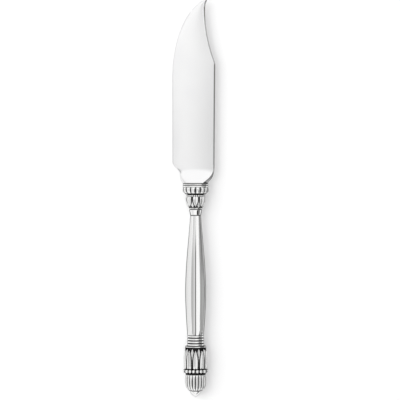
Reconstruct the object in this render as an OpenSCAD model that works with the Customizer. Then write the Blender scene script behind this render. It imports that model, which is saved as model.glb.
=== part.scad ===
// Table fish knife: a blunt steel blade cemented into a hollow silver handle.
// The knife lies flat on its back, the point towards +Y and the edge towards -X.
// The origin is under the middle of the knife, on the surface it lies on.

/* [Blade] */
// Length of the blade, from the collar to the point
blade_l = 95; // [80:1:110]
// Distance from the handle's axis to the cutting edge
edge_reach = 12.2; // [11:0.1:14]
// Distance from the axis to the back, at the start of the clip
back_reach = 10.2; // [9:0.1:11]
// Distance from the axis to the back, above the heel
heel_reach = 9.8; // [8.6:0.1:10]
// Distance from the axis to the hollow of the clip
clip_reach = 4.9; // [3:0.05:5]
// Distance from the axis to the point
tip_reach = 6; // [5.1:0.1:7]
// Length of the hollow clip on the back
clip_l = 32.8; // [26:0.1:40]
// Length of the curved belly, from the straight edge to the point
belly_l = 43; // [34:1:52]
// Thickness of the blade
blade_t = 1.5; // [1.2:0.1:1.8]
// Thickness left at the blunt edge
edge_t = 1; // [0.6:0.1:1.1]
// Width of the ground bevel along the edge
bevel_w = 0.8; // [0.5:0.1:3]
// Width of the worn rounding along the back
back_bevel_w = 0.4; // [0.2:0.1:0.8]
// Width of the blunt end of the point
point_w = 0.4; // [0.3:0.1:0.6]

/* [Heel and bolster] */
// Length of the narrow neck between the collar and the heel
neck_l = 4.5; // [3:0.1:6]
// Length of the step where the neck sweeps out to the edge
heel_l = 6.5; // [5:0.1:8]
// Distance from the axis to the neck on the edge side
neck_reach = 8.2; // [7.5:0.1:9]
// Length of the rounding at the foot of the back
back_heel_l = 8; // [6:0.1:10]
// Length of the bolster, where the blade thickens to the collar
bolster_l = 9; // [7:0.1:11]
// Thickness of the bolster where it meets the collar
bolster_t = 5.2; // [4:0.1:6]

/* [Tang] */
// Length of the tang below the blade
tang_l = 52; // [42:1:58]
// Width of the tang at the bolster
tang_w = 3.2; // [2.8:0.1:3.2]
// Width of the tang at its end
tang_end_w = 2.6; // [2:0.1:3]
// Thickness of the tang
tang_t = 1.8; // [1.4:0.1:1.8]
// Diameter of the tang's two holes, which the cement fills
tang_hole_d = 1.4; // [1:0.1:1.6]
// Distance from the blade to the first hole
tang_hole_y = 26; // [22:1:30]
// Distance between the holes
tang_hole_pitch = 12; // [6:1:14]
// Depth of the cement below the tang's end
cement_below = 2.5; // [1:0.5:4]

/* [Collar] */
// Width of the collar at its widest
collar_w = 14; // [13.4:0.1:15]
// Thickness of the collar at its widest
collar_t = 8.6; // [8:0.1:9.4]
// Width of the mouth plate
mouth_w = 13.2; // [12.6:0.1:14]
// Thickness of the mouth plate
mouth_t = 7.8; // [7:0.1:8.4]
// Height of the mouth plate
mouth_l = 1.4; // [1:0.1:2]
// Width of the worn rounding along the mouth plate's rims
mouth_bevel = 0.2; // [0.1:0.05:0.3]
// Height of the ornamented part of the collar
collar_l = 12; // [10:0.1:14]
// Depth of the hollows between the gadroons
gadroon_depth = 0.55; // [0.3:0.05:0.7]
// Rise of the leaves on the cup
cup_leaf_rise = 0.5; // [0.3:0.05:0.6]
// Diameter of the beads round the collar's waist
waist_bead_d = 1.3; // [1.1:0.1:1.5]
// Width of the foot band
foot_w = 6.6; // [6.4:0.1:7.2]
// Thickness of the foot band
foot_t = 5.6; // [5.4:0.1:6.2]
// Height of the foot band
foot_l = 3.6; // [3:0.1:4.4]

/* [Shaft] */
// Length of the fluted shaft
shaft_l = 61.8; // [54:0.1:70]
// Width of the shaft at the foot band
shaft_top_w = 5.6; // [5.6:0.1:6]
// Thickness of the shaft at the foot band
shaft_top_t = 4.8; // [4.8:0.1:5.4]
// Width of the shaft at its widest
shaft_w = 10.8; // [10:0.1:12]
// Thickness of the shaft at its widest
shaft_t = 7.6; // [7:0.1:8.4]
// Width of the shaft at the rings
shaft_end_w = 8.6; // [8.2:0.1:9.2]
// Thickness of the shaft at the rings
shaft_end_t = 7; // [6.6:0.1:7.4]
// Wall of the pressed half shells
wall = 0.7; // [0.5:0.05:0.7]
// Thickness of the solder between the half shells
solder_t = 0.2; // [0.1:0.05:0.3]
// Depth of the wide flutes
flute_depth = 0.38; // [0.2:0.02:0.44]
// Length over which the flutes run out at the rings
flute_end_l = 2.4; // [1.5:0.1:4]

/* [Rings] */
// Height of the reeded sleeve
rings_l = 5.7; // [5:0.1:7]
// Width of the sleeve
rings_w = 9; // [8.8:0.1:9.8]
// Thickness of the sleeve
rings_t = 7.4; // [7.2:0.1:8]
// Depth of the grooves between the rings
ring_groove = 0.4; // [0.25:0.05:0.5]

/* [Finial] */
// Length of the cast finial without its tip
finial_l = 23.1; // [20:0.1:26]
// Width of the finial's leaf cup
finial_w = 12.7; // [12:0.1:13.6]
// Thickness of the finial's leaf cup
finial_t = 8.2; // [7.8:0.1:8.4]
// Rise of the finial's leaves
leaf_rise = 0.7; // [0.4:0.05:0.8]
// Depth of the hollows between the gadroons of the bud
bud_depth = 0.55; // [0.3:0.05:0.7]
// Diameter of the beads round the finial
finial_bead_d = 1.95; // [1.6:0.05:2.2]
// Length of the finial's tip
tip_l = 3.4; // [2.5:0.1:4.5]
// Diameter of the tip's button
tip_d = 6; // [5.4:0.1:6.4]
// Length of the spigot inside the shaft
spigot_l = 8; // [5:0.5:8]
// Width of the lead-in at the spigot's end
spigot_bevel = 0.8; // [0.4:0.1:1]
// Diameter of the tip's peg
peg_d = 2.4; // [2:0.1:3]
// Length of the tip's peg
peg_l = 4; // [3:0.5:6]

/* [Hidden] */
// Overrun of every cut
over = 1;
// Clearance between a piece and the one it goes into
fit = 0.05;
// Points round an ornamented casting, a plain piece, a half shell and the bolster
cast_points = 80;
plain_points = 48;
shell_points = 36;
bolster_points = 24;
// Facets of the true circles
round_fn = 64;

// Bends of the blade's outline
belly_bend = 2.2;
belly_end_bend = 0.6;
heel_bend = 2.2;
clip_low_share = 0.85;
// Sections along the blade, closer together where its outline bends
bolster_steps = 8;
heel_steps = 4;
straight_steps = 2;
belly_steps = 5;
clip_steps = 24;
clip_crowding = 1.5;
// Squareness of the bolster's section, where 2 is an oval
bolster_square = 2.6;
// Height of the skinned body as shares of the blade's half thickness: just under it
// where the bolster ends, and over it beyond, where the body is cut flat
under_share = 0.98;
over_share = 1.1;
// Thickness of the rounded back and neck
side_share = 0.6;

// Half widths down the collar: place, share of the collar's half width
gadroon_shares = [[0, 0.92], [0.035, 0.95], [0.06, 0.93], [0.075, 0.97], [0.12, 1], [0.17, 1.01],
    [0.22, 1], [0.27, 0.97], [0.31, 0.91], [0.345, 0.8], [0.365, 0.72]];
cup_shares = [[0.5, 0.66], [0.52, 0.68], [0.57, 0.68], [0.62, 0.67], [0.68, 0.655], [0.74, 0.635],
    [0.8, 0.61], [0.86, 0.58], [0.91, 0.55], [0.95, 0.51], [0.975, 0.5], [1, 0.48]];
waist_share = 0.4325;
waist_w_share = 0.715;
gadroons = 16;
cup_leaves = 8;
// Where the collar's gadroons start and end, its leaves, and the turn from flat to round
gadroon_ends_share = [0.06, 0.36];
cup_leaf_ends_share = [0.5, 0.96];
flat_end_share = 0.25;

// Half width and half thickness down the finial: place, shares of the leaf cup's
leaf_cup_shares = [[0, 0.84, 0.86], [0.03, 0.88, 0.89], [0.045, 0.86, 0.87], [0.055, 0.8, 0.81],
    [0.07, 0.8, 0.81], [0.1, 0.84, 0.84], [0.15, 0.87, 0.86], [0.2, 0.885, 0.87],
    [0.26, 0.89, 0.87], [0.32, 0.885, 0.87], [0.38, 0.875, 0.87], [0.43, 0.87, 0.87],
    [0.47, 0.87, 0.86], [0.49, 0.87, 0.85]];
bud_shares = [[0.635, 0.8, 0.84], [0.66, 0.84, 0.88], [0.7, 0.87, 0.91], [0.77, 0.88, 0.93],
    [0.84, 0.87, 0.94], [0.9, 0.84, 0.94], [0.94, 0.78, 0.92], [0.965, 0.71, 0.89],
    [0.985, 0.62, 0.84], [1, 0.51, 0.78]];
bead_place_share = 0.5625;
bead_w_share = 1.079;
bead_t_share = 1.05;
leaves = 10;
bud_gadroons = 20;
// Where the finial's leaves start and end, and the bud's gadroons
leaf_ends_share = [0.49, 0.06];
bud_ends_share = [0.635, 1];
// A leaf's half width in its place, how it tapers and rounds off, how far its sides fall
// away, the half width of its vein and the height left there
leaf_w_share = 0.98;
leaf_taper = 2.6;
leaf_round = 0.8;
leaf_fall_share = 0.55;
vein_w_share = 0.14;
vein_share = 0.8;
// Reach of the front leaves, and height of the leaves that show between them
front_reach_share = 0.86;
between_share = 0.5;
// Spacing of the beads, so that each one joins the next
bead_pitch_share = 0.94;
// Depth of the band behind the beads, as a share of a bead's diameter
band_share = 0.75;
// Down the foot band: place, share of its half width
foot_shares = [[0, 0.93], [0.1, 1], [0.3, 1.01], [0.7, 1], [0.88, 0.93], [1, 0.85]];
// Up the tip: shares of its radius and of its length
tip_shares = [[0.9, 0], [1, 0.12], [0.97, 0.3], [0.84, 0.5], [0.64, 0.68], [0.4, 0.83], [0.18, 0.94]];

// Angles from the middle of a face to the ribs between its flutes. One round cutter makes
// the narrow flutes and the wide ones, so that the narrow ones are shallower.
flute_angles = [0, 26, 62];
// Where the shaft is widest, and how full it swells above and below
belly_share = 0.62;
swell = 0.24;
fall_bend = 1.8;
shaft_steps = 16;
flute_end_steps = 4;
cement_steps = 12;
rings = 4;
ring_steps = 4;

// The places where one piece ends and the next begins, down from the blade
mouth_y = -mouth_l;
foot_y = mouth_y - collar_l;
shaft_y = foot_y - foot_l;
rings_y = shaft_y - shaft_l;
finial_y = rings_y - rings_l;
tip_y = finial_y - finial_l;
total_l = blade_l - tip_y + tip_l;

function ease(t) = t * t * (3 - 2 * t);
function mix(a, b, t) = a + (b - a) * t;
function within(t) = max(0, min(1, t));
function bent(v, n) = sign(v) * pow(abs(v), 2 / n);

// A ring of points round the handle's axis at one place along it
function oval(a, b, y, points, n = 2) = [for (j = [0:points - 1])
    [a * bent(cos(360 * j / points), n), y, b * bent(sin(360 * j / points), n)]];

// Faces between neighbouring rings, where each ring has the same points
function side_faces(n, first, last, count) = [for (i = [first:last]) for (j = [0:n - 1])
    let (a = i * n + j, b = i * n + (j + 1) % n, down = ((i + 1) % count) * n)
    each [[a, down + j, b], [b, down + j, down + (j + 1) % n]]];

// A solid through a list of rings, closed by a flat face at each end
module skin(ring_list) {
    n = len(ring_list[0]);
    count = len(ring_list);
    points = [for (ring = ring_list) each ring];
    top = [for (j = [0:n - 1]) j];
    bottom = [for (j = [n - 1:-1:0]) (count - 1) * n + j];
    polyhedron(points, concat([top, bottom], side_faces(n, 0, count - 2, count)));
}

// A tube through a list of rings that runs down outside and up inside
module sleeve(ring_list) {
    n = len(ring_list[0]);
    count = len(ring_list);
    points = [for (ring = ring_list) each ring];
    polyhedron(points, side_faces(n, 0, count - 1, count));
}

// A long shell through open sections, each out along one side and back along the other
module trough(ring_list) {
    n = len(ring_list[0]);
    count = len(ring_list);
    points = [for (ring = ring_list) each ring];
    last = (count - 1) * n;
    top = [for (j = [0:n / 2 - 2]) [j, j + 1, n - 2 - j, n - 1 - j]];
    bottom = [for (j = [0:n / 2 - 2]) [last + n - 1 - j, last + n - 2 - j, last + j + 1, last + j]];
    polyhedron(points, concat(top, bottom, side_faces(n, 0, count - 2, count)));
}

// Stands the knife's own frame on the surface, with the origin under its middle
module placed() {
    translate([(edge_reach - back_reach) / 2, total_l / 2 - blade_l, axis_z]) children();
}

// The blade
function edge_x(y) = y < neck_l
    ? mix(mouth_w / 2, neck_reach, 1 - pow(1 - y / neck_l, 2))
    : y < neck_l + heel_l ? mix(neck_reach, edge_reach, ease((y - neck_l) / heel_l))
    : let (t = within((y - blade_l + belly_l) / belly_l))
    mix(-tip_reach + point_w, edge_reach, pow(1 - pow(t, belly_bend), belly_end_bend));

function back_x(y) = y < back_heel_l
    ? mix(mouth_w / 2, heel_reach, 1 - pow(1 - y / back_heel_l, heel_bend))
    : let (u = (y - blade_l + clip_l) / clip_l)
    u < 0 ? mix(heel_reach, back_reach, (y - back_heel_l) / (blade_l - clip_l - back_heel_l))
    : clip_reach + (back_reach - clip_reach) * pow(max(0, 1 - u / clip_low_share), 2)
    + (tip_reach - clip_reach) * pow(max(0, (u - clip_low_share) / (1 - clip_low_share)), 2);

// Half of a section of the flat body, from the back to the edge
function plate_side(y) =
    let (half = blade_t / 2,
        grown = ease(within((y - neck_l) / heel_l)),
        high = half * mix(under_share, over_share, ease(within((y - bolster_l) / bevel_w))),
        back = half * side_share,
        edge = mix(back, edge_t / 2, grown),
        bevel = mix(back_bevel_w, bevel_w, grown),
        room = within((edge_x(y) + back_x(y)) / (2 * (bevel_w + back_bevel_w))),
        flat = mix(edge, high, room),
        from = back_x(y) - room * back_bevel_w * (high - back) / (half - back),
        to = room * bevel * (high - edge) / (half - edge) - edge_x(y),
        last = bolster_points / 2 - 1)
    [for (j = [0:last]) j == 0 ? [back_x(y), min(back, flat * side_share)]
        : j == last ? [-edge_x(y), edge]
        : [mix(from, to, (j - 1) / (last - 2)), flat]];

// Half of a section of the bolster, whose points pair with the flat body's
function bolster_side(y) =
    let (a = (edge_x(y) + back_x(y)) / 2, middle = (back_x(y) - edge_x(y)) / 2, half = bolster_points / 2)
    [for (j = [0:half - 1]) let (angle = 180 * (j + 0.5) / half)
        [middle + a * bent(cos(angle), bolster_square), bolster_t / 2 * bent(sin(angle), bolster_square)]];

function blade_ring(y) =
    let (weight = pow(within(1 - y / bolster_l), 2),
        side = plate_side(y) * (1 - weight) + bolster_side(y) * weight,
        last = len(side) - 1)
    [for (p = side) [p[0], y, p[1]], for (j = [last:-1:0]) [side[j][0], y, -side[j][1]]];

function steps(from, to, count) = [for (i = [1:count]) mix(from, to, i / count)];

module flat_body() {
    heel_top = neck_l + heel_l;
    belly_y = blade_l - belly_l;
    clip_y = blade_l - clip_l;
    places = concat([0], steps(0, bolster_l, bolster_steps),
        steps(bolster_l, heel_top + bevel_w, heel_steps),
        steps(heel_top + bevel_w, belly_y, straight_steps), steps(belly_y, clip_y, belly_steps),
        [for (i = [1:clip_steps]) mix(clip_y, blade_l, 1 - pow(1 - i / clip_steps, clip_crowding))]);
    difference() {
        skin([for (i = [len(places) - 1:-1:0]) blade_ring(places[i])]);
        for (turn = [0, 180])
            rotate([0, turn, 0]) translate([-edge_reach - over, bolster_l, blade_t / 2])
                cube([2 * (edge_reach + over), blade_l, blade_t]);
    }
}

// The tang, or with a gap the space that it needs
module tang(gap = 0) {
    w = tang_w / 2 + gap;
    w_end = tang_end_w / 2 + gap;
    translate([0, 0, -tang_t / 2 - gap]) difference() {
        linear_extrude(tang_t + 2 * gap)
            polygon([[w, bolster_l / 2], [w, 0], [w_end, -tang_l - gap], [-w_end, -tang_l - gap],
                [-w, 0], [-w, bolster_l / 2]]);
        for (y = [tang_hole_y, tang_hole_y + tang_hole_pitch])
            translate([0, -y, -over])
                cylinder(h = tang_t + 2 * (gap + over), d = tang_hole_d - 2 * gap, $fn = round_fn);
    }
}

module blade() {
    color("whitesmoke") placed() {
        flat_body();
        tang();
    }
}

// The collar
module mouth_plate() {
    a = mouth_w / 2;
    b = mouth_t / 2;
    color("gainsboro") placed() difference() {
        skin([oval(a - mouth_bevel, b - mouth_bevel, 0, plain_points),
            oval(a, b, -mouth_bevel, plain_points),
            oval(a, b, mouth_y + mouth_bevel, plain_points),
            oval(a - mouth_bevel, b - mouth_bevel, mouth_y, plain_points)]);
        tang(fit);
    }
}

// The straight hole down the collar and the foot band
bore_a = shaft_top_w / 2 - wall;
bore_b = shaft_top_t / 2 - wall;

// Round-backed lobes between sharp hollows, 1 in a hollow and 0 on a lobe. A hollow
// lies in the middle of each face, so that the knife rests on two lobes.
function hollow(angle, lobes) = 1 - abs(sin((angle - 90) * lobes / 2));

// Height of a pointed leaf, where u runs from -1 to 1 across its place and h from 0 at
// its foot to 1 at the tips of the leaves that show between
function leaf(u, h, reach) =
    let (half = leaf_w_share * pow(max(0, 1 - pow(max(0, h) / reach, leaf_taper)), leaf_round))
    abs(u) >= half ? 0
    : (1 - leaf_fall_share * pow(u / half, 2)) * (abs(u) < vein_w_share ? vein_share : 1);

// Where an angle falls in its leaf's place, with a leaf in the middle of each face
function leaf_place(angle, count, turn) =
    let (p = (angle - 90) * count / 360 + turn + 1 / 2) 2 * (p - floor(p)) - 1;

function leaf_row(angle, h, count) = max(leaf(leaf_place(angle, count, 0), h, front_reach_share),
    between_share * leaf(leaf_place(angle, count, 1 / 2), h, 1));

// How far v has come from the first of two places to the second
function along(v, ends) = (v - ends[0]) / (ends[1] - ends[0]);

// The collar's section turns from flat to nearly round below its gadroons
function flatness(v) = mix(collar_t / collar_w, foot_t / foot_w, within(along(v, [flat_end_share, 1])));

// A section of the collar, raised by rise at its leaves and cut by depth between its gadroons
function collar_ring(row, rise, depth) =
    let (v = row[0], a = collar_w / 2 * row[1], b = a * flatness(v))
    [for (j = [0:cast_points - 1]) let (angle = 360 * j / cast_points,
        lift = rise * leaf_row(angle, along(v, cup_leaf_ends_share), cup_leaves)
            - depth * hollow(angle, gadroons))
        [(a + lift) * cos(angle), mouth_y - v * collar_l, (b + lift) * sin(angle)]];

// The groove that a beaded wire lies in, and the wire's own size there
waist_a = collar_w / 2 * waist_w_share;
waist_b = waist_a * flatness(waist_share);
waist_y = mouth_y - waist_share * collar_l;

function groove(a, b, y, d, points) = let (floor_in = d * band_share + fit, up = d / 2 + fit)
    [for (side = [1, -1]) oval(a - floor_in, b - floor_in, y + side * up, points)];

module collar() {
    color("lightgray") placed() sleeve(concat(
        [for (row = gadroon_shares)
            collar_ring(row, 0, gadroon_depth * sin(180 * within(along(row[0], gadroon_ends_share))))],
        groove(waist_a, waist_b, waist_y, waist_bead_d, cast_points),
        [for (row = cup_shares) collar_ring(row, cup_leaf_rise, 0)],
        [oval(bore_a, bore_b, foot_y, cast_points), oval(bore_a, bore_b, mouth_y, cast_points)]));
}

// Angles that space the beads evenly round an oval, by its length along the curve
function arc_table(a, b) = [for (k = 0, s = 0; k <= 180;
    s = s + 2 * PI / 180 * norm([a * sin(2 * k + 1), b * cos(2 * k + 1)]), k = k + 1) [s, 2 * k]];

// The beads' angles, in fours so that two beads straddle the middle of each face
function bead_angles(a, b, d) =
    let (table = arc_table(a, b), around = table[180][0],
        count = 4 * round(around / (4 * d * bead_pitch_share)))
    [for (k = [0:count - 1]) lookup((k + 0.5) * around / count, table)];

// A wire of beads: a flat band with a row of balls sunk halfway in its outside
module beaded_wire(a, b, y, d) {
    angles = bead_angles(a - d / 2, b - d / 2, d);
    inner = d * band_share;
    difference() {
        union() {
            skin([for (side = [1, -1]) oval(a - d / 2, b - d / 2, y + side * d / 2, plain_points)]);
            for (angle = angles)
                translate([(a - d / 2) * cos(angle), y, (b - d / 2) * sin(angle)])
                    sphere(d = d, $fn = round_fn);
        }
        skin([for (side = [1, -1]) oval(a - inner, b - inner, y + side * (d / 2 + over), plain_points)]);
    }
}

module collar_beads() {
    color("silver") placed() beaded_wire(waist_a, waist_b, waist_y, waist_bead_d);
}

module foot_band() {
    color("gainsboro") placed() sleeve(concat(
        [for (row = foot_shares)
            oval(foot_w / 2 * row[1], foot_t / 2 * row[1], foot_y - row[0] * foot_l, plain_points)],
        [oval(bore_a, bore_b, shaft_y, plain_points), oval(bore_a, bore_b, foot_y, plain_points)]));
}

// The fluted shaft, where v runs from 0 at the foot band to 1 at the rings
function swollen(top, most, end, v) =
    let (up = v / belly_share, down = (v - belly_share) / (1 - belly_share))
    v < belly_share ? mix(top, most, up + swell * up * sin(180 * up))
    : mix(most, end, pow(down, fall_bend));
function shaft_a(v) = swollen(shaft_top_w, shaft_w, shaft_end_w, v) / 2;
function shaft_b(v) = swollen(shaft_top_t, shaft_t, shaft_end_t, v) / 2;

function scallop(t) = 1 - pow(2 * t - 1, 2);
function flute(angle) =
    let (t = abs(angle - 90), narrow = flute_angles[1], wide = flute_angles[2] - narrow)
    t < narrow ? pow(narrow / wide, 2) * scallop(t / narrow)
    : t < flute_angles[2] ? scallop((t - narrow) / wide) : 0;

shaft_places = concat([0], steps(0, 1 - flute_end_l / shaft_l, shaft_steps),
    steps(1 - flute_end_l / shaft_l, 1, flute_end_steps));

function shell_ring(v) =
    let (a = shaft_a(v), b = shaft_b(v), low = solder_t / 2,
        depth = flute_depth * 2 * a / shaft_w * sqrt(within((1 - v) * shaft_l / flute_end_l)))
    concat([for (j = [0:shell_points]) let (angle = 180 * j / shell_points, down = depth * flute(angle))
            [(a - down) * cos(angle), shaft_y - v * shaft_l, mix(low, b - down, sin(angle))]],
        [for (j = [shell_points:-1:0]) let (angle = 180 * j / shell_points)
            [(a - wall) * cos(angle), shaft_y - v * shaft_l, mix(low, b - wall, sin(angle))]]);

module half_shell() {
    trough([for (v = shaft_places) shell_ring(v)]);
}

module handle_front() {
    color("lightgray") placed() half_shell();
}

module handle_back() {
    color("silver") placed() rotate([0, 180, 0]) half_shell();
}

module seam() {
    skin([for (v = shaft_places) let (a = shaft_a(v), y = shaft_y - v * shaft_l, s = solder_t / 2)
        [[a, y, s], [a - wall, y, s], [a - wall, y, -s], [a, y, -s]]]);
}

module seam_right() {
    color("darkgray") placed() seam();
}

module seam_left() {
    color("darkgray") placed() rotate([0, 180, 0]) seam();
}

module cement_fill() {
    end_share = (tang_l + cement_below + shaft_y) / shaft_l;
    color("peru") placed() difference() {
        skin(concat([oval(bore_a - fit, bore_b - fit, mouth_y, bolster_points)],
            [for (i = [0:cement_steps]) let (v = end_share * i / cement_steps, thin = wall + fit)
                oval(shaft_a(v) - thin, shaft_b(v) - thin, shaft_y - v * shaft_l, bolster_points)]));
        tang(fit);
    }
}

// The rings
spigot_a = shaft_end_w / 2 - wall - fit;
spigot_b = shaft_end_t / 2 - wall - fit;

module neck_rings() {
    count = rings * ring_steps;
    color("gainsboro") placed() sleeve(concat(
        [for (i = [0:count]) let (v = i / count, t = (i % ring_steps) / ring_steps,
            down = ring_groove * pow(2 * t - 1, 2))
            oval(mix(shaft_end_w, rings_w, v) / 2 - down, mix(shaft_end_t, rings_t, v) / 2 - down,
                rings_y - v * rings_l, plain_points)],
        [oval(spigot_a + fit, spigot_b + fit, finial_y, plain_points),
            oval(spigot_a + fit, spigot_b + fit, rings_y, plain_points)]));
}

// The finial
function finial_ring(row, rise, depth) =
    [for (j = [0:cast_points - 1]) let (angle = 360 * j / cast_points,
        lift = rise * leaf_row(angle, along(row[0], leaf_ends_share), leaves)
            - depth * hollow(angle, bud_gadroons))
        [(finial_w / 2 * row[1] + lift) * cos(angle), finial_y - row[0] * finial_l,
            (finial_t / 2 * row[2] + lift) * sin(angle)]];

bead_a = finial_w / 2 * bead_w_share;
bead_b = finial_t / 2 * bead_t_share;
bead_y = finial_y - bead_place_share * finial_l;

// Height of the axis when the knife lies on the collar's lobes or on the finial's beads
collar_low = collar_t / 2 * max([for (row = gadroon_shares) row[1]]) * cos(180 / gadroons);
beads_low = max([for (angle = bead_angles(bead_a - finial_bead_d / 2, bead_b - finial_bead_d / 2,
    finial_bead_d)) (bead_b - finial_bead_d / 2) * sin(angle)]) + finial_bead_d / 2;
axis_z = max(collar_low, beads_low);

module finial() {
    color("lightgray") placed() difference() {
        skin(concat(
            [oval(spigot_a - spigot_bevel, spigot_b - spigot_bevel, rings_y + spigot_l, cast_points),
                oval(spigot_a, spigot_b, rings_y + spigot_l - spigot_bevel, cast_points),
                oval(spigot_a, spigot_b, finial_y, cast_points)],
            [for (row = leaf_cup_shares) finial_ring(row, leaf_rise, 0)],
            groove(bead_a, bead_b, bead_y, finial_bead_d, cast_points),
            [for (row = bud_shares)
                finial_ring(row, 0, bud_depth * sin(180 * within(along(row[0], bud_ends_share))))]));
        translate([0, tip_y - over, 0]) rotate([-90, 0, 0])
            cylinder(h = peg_l + fit + over, d = peg_d + 2 * fit, $fn = round_fn);
    }
}

module finial_beads() {
    color("silver") placed() beaded_wire(bead_a, bead_b, bead_y, finial_bead_d);
}

module finial_tip() {
    color("gainsboro") placed() translate([0, tip_y, 0]) rotate([90, 0, 0])
        rotate_extrude($fn = round_fn) polygon(concat(
            [[0, -peg_l], [peg_d / 2, -peg_l], [peg_d / 2, 0]],
            [for (row = tip_shares) [tip_d / 2 * row[0], tip_l * row[1]]], [[0, tip_l]]));
}

blade();
mouth_plate();
collar();
collar_beads();
foot_band();
handle_front();
handle_back();
seam_left();
seam_right();
cement_fill();
neck_rings();
finial();
finial_beads();
finial_tip();
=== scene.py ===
import math

import bmesh
import bpy
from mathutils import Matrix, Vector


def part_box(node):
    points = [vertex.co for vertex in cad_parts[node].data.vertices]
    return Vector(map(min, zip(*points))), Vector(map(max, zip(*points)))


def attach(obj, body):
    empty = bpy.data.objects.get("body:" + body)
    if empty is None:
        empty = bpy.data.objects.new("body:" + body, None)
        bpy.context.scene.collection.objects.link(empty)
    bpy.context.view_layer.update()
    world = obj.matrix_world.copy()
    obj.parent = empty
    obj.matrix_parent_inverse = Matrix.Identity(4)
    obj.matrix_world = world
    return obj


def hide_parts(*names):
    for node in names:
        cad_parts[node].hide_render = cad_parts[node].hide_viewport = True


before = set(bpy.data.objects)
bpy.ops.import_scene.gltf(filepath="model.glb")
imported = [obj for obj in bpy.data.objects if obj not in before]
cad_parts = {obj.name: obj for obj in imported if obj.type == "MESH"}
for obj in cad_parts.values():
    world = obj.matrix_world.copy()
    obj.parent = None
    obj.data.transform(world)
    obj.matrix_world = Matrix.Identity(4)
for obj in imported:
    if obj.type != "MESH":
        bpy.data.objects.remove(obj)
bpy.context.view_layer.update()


# The blade is stainless steel, forged in one with its bolster and its tang. Its faces are
# ground with a slight swell, and its edge and back are only bevelled, the edge more widely
# near the point, because it lifts fish off the bone and doesn't cut. It is drawn in rows.
mm = 0.001
mouth_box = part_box("mouth_plate")
axis_x = (mouth_box[0][0] + mouth_box[1][0]) / 2
axis_z = (mouth_box[0][2] + mouth_box[1][2]) / 2
blade_foot = mouth_box[1][1]
blade_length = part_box("blade")[1][1] - blade_foot
blade_shares = [0, 0.004, 0.01, 0.018, 0.023, 0.027, 0.06, 0.11, 0.18, 0.26, 0.34, 0.42, 0.5, 0.58, 0.66,
                0.74, 0.8, 0.84, 0.87, 0.9, 0.92, 0.94, 0.952, 0.96, 0.964, 0.968, 0.98, 0.992, 1]
plate_half, plate_swell = 0.75 * mm, 0.13 * mm
edge_bevel, edge_slope = 0.45 * mm, 0.55
point_bevel, point_slope, point_ground = 1.5 * mm, 0.13, 20 * mm
back_half, back_slope = 0.22 * mm, 0.6
shoulder_slope = 0.7
bolster_half = 2.6 * mm
bolster_length = 7.8 * mm
bolster_round = 2.6
neck_length, heel_length, back_heel_length = 4.5 * mm, 6.5 * mm, 8 * mm
belly_length, clip_length = 43 * mm, 32.8 * mm
foot_reach, neck_reach, belly_reach, point_reach = 6.6 * mm, 8.2 * mm, 12.2 * mm, -5.6 * mm
heel_reach, spine_reach, clip_reach, tip_reach = 9.8 * mm, 10.2 * mm, 4.9 * mm, 6 * mm
clip_share = 0.85


def ease(t):
    return t * t * (3 - 2 * t)


def mix(a, b, t):
    return a + (b - a) * t


def within(t):
    return max(0.0, min(1.0, t))


def edge_reach(y):
    """How far the cutting edge lies from the axis, that far up the blade."""
    if y < neck_length:
        return mix(foot_reach, neck_reach, 1 - (1 - y / neck_length) ** 2)
    if y < neck_length + heel_length:
        return mix(neck_reach, belly_reach, ease((y - neck_length) / heel_length))
    t = within((y - blade_length + belly_length) / belly_length)
    return mix(point_reach, belly_reach, (1 - t ** 2.2) ** 0.6)


def back_reach(y):
    """How far the back lies from the axis, that far up the blade."""
    if y < back_heel_length:
        return mix(foot_reach, heel_reach, 1 - (1 - y / back_heel_length) ** 2.2)
    u = (y - blade_length + clip_length) / clip_length
    if u < 0:
        straight = blade_length - clip_length - back_heel_length
        return mix(heel_reach, spine_reach, (y - back_heel_length) / straight)
    hollow = (spine_reach - clip_reach) * max(0.0, 1 - u / clip_share) ** 2
    flick = (tip_reach - clip_reach) * max(0.0, (u - clip_share) / (1 - clip_share)) ** 2
    return clip_reach + hollow + flick


def pick(test):
    """Selects the points of the piece in hand that pass a test of their place."""
    mesh = bmesh.from_edit_mesh(bpy.context.edit_object.data)
    for vert in mesh.verts:
        vert.select = test(vert.co)
    mesh.select_flush_mode()
    bmesh.update_edit_mesh(bpy.context.edit_object.data)


def press(piece, strength, share, direction="NORMAL"):
    """Moves the surface by a share of the strength that depends on the place."""
    group = piece.vertex_groups.new(name="pressed")
    for vert in piece.data.vertices:
        group.add([vert.index], share(vert.co), "REPLACE")
    tool = piece.modifiers.new("press", "DISPLACE")
    tool.direction, tool.mid_level, tool.strength = direction, 0, strength
    tool.vertex_group = group.name
    bpy.ops.object.modifier_apply(modifier=tool.name)
    piece.vertex_groups.remove(piece.vertex_groups["pressed"])


def finish(piece, name, angle):
    """Merges, closes and smooths a piece, and puts its place in its mesh."""
    bpy.ops.object.mode_set(mode="EDIT")
    bpy.ops.mesh.select_all(action="SELECT")
    bpy.ops.mesh.remove_doubles(threshold=0.002 * mm)
    bpy.ops.mesh.normals_make_consistent(inside=False)
    bpy.ops.object.mode_set(mode="OBJECT")
    bpy.ops.object.transform_apply(location=True, rotation=True, scale=True)
    bpy.ops.object.shade_smooth_by_angle(angle=math.radians(angle))
    piece.name = name


shaped_foot, plain_end, plain_steps, point_steps = 12 * mm, 52 * mm, 8, 64
blade_rows = [shaped_foot * i / 20 for i in range(21)]
blade_rows += [mix(shaped_foot, plain_end, i / plain_steps) for i in range(1, plain_steps + 1)]
for i in range(1, point_steps + 1):
    blade_rows.append(mix(plain_end, blade_length, 1 - (1 - i / point_steps) ** 1.5))

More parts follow.
